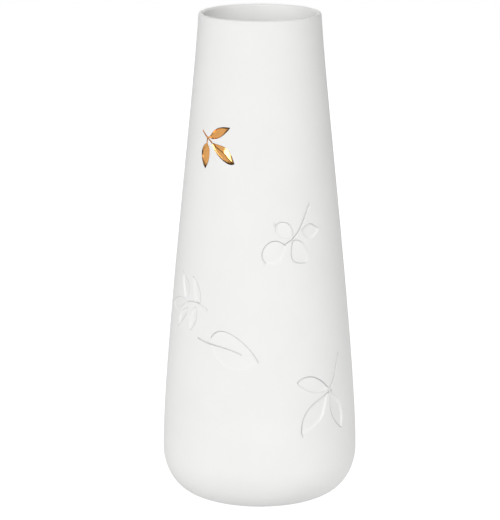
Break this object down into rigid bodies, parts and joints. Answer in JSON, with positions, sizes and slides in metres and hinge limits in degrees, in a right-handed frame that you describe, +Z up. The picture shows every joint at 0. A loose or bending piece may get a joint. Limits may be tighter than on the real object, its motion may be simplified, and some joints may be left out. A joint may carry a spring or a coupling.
{
  "type": "tapered porcelain vase",
  "caption": "Tall round vase that tapers to its mouth, matt outside and glazed inside, with pressed leaf sprigs and a gilded one.",
  "frame": {"origin": "middle of the foot ring, on the surface that the vase stands on", "axes": "+Z up along the vase's own axis; the side that carries the gilded sprig faces -Y"},
  "size_m": [0.113, 0.113, 0.28],
  "materials": {
    "bisque": "matt unglazed white porcelain, fine grained",
    "glaze": "clear gloss glaze over white porcelain",
    "gold": "bright mirror gilding fired on, brush laid"
  },
  "bodies": {
    "root": {"porcelain_body": "bisque", "inner_glaze": "glaze", "gold_stem": "gold", "gold_leaf_upper": "gold", "gold_leaf_lower": "gold", "gold_leaf_right": "gold"}
  },
  "joints": []
}
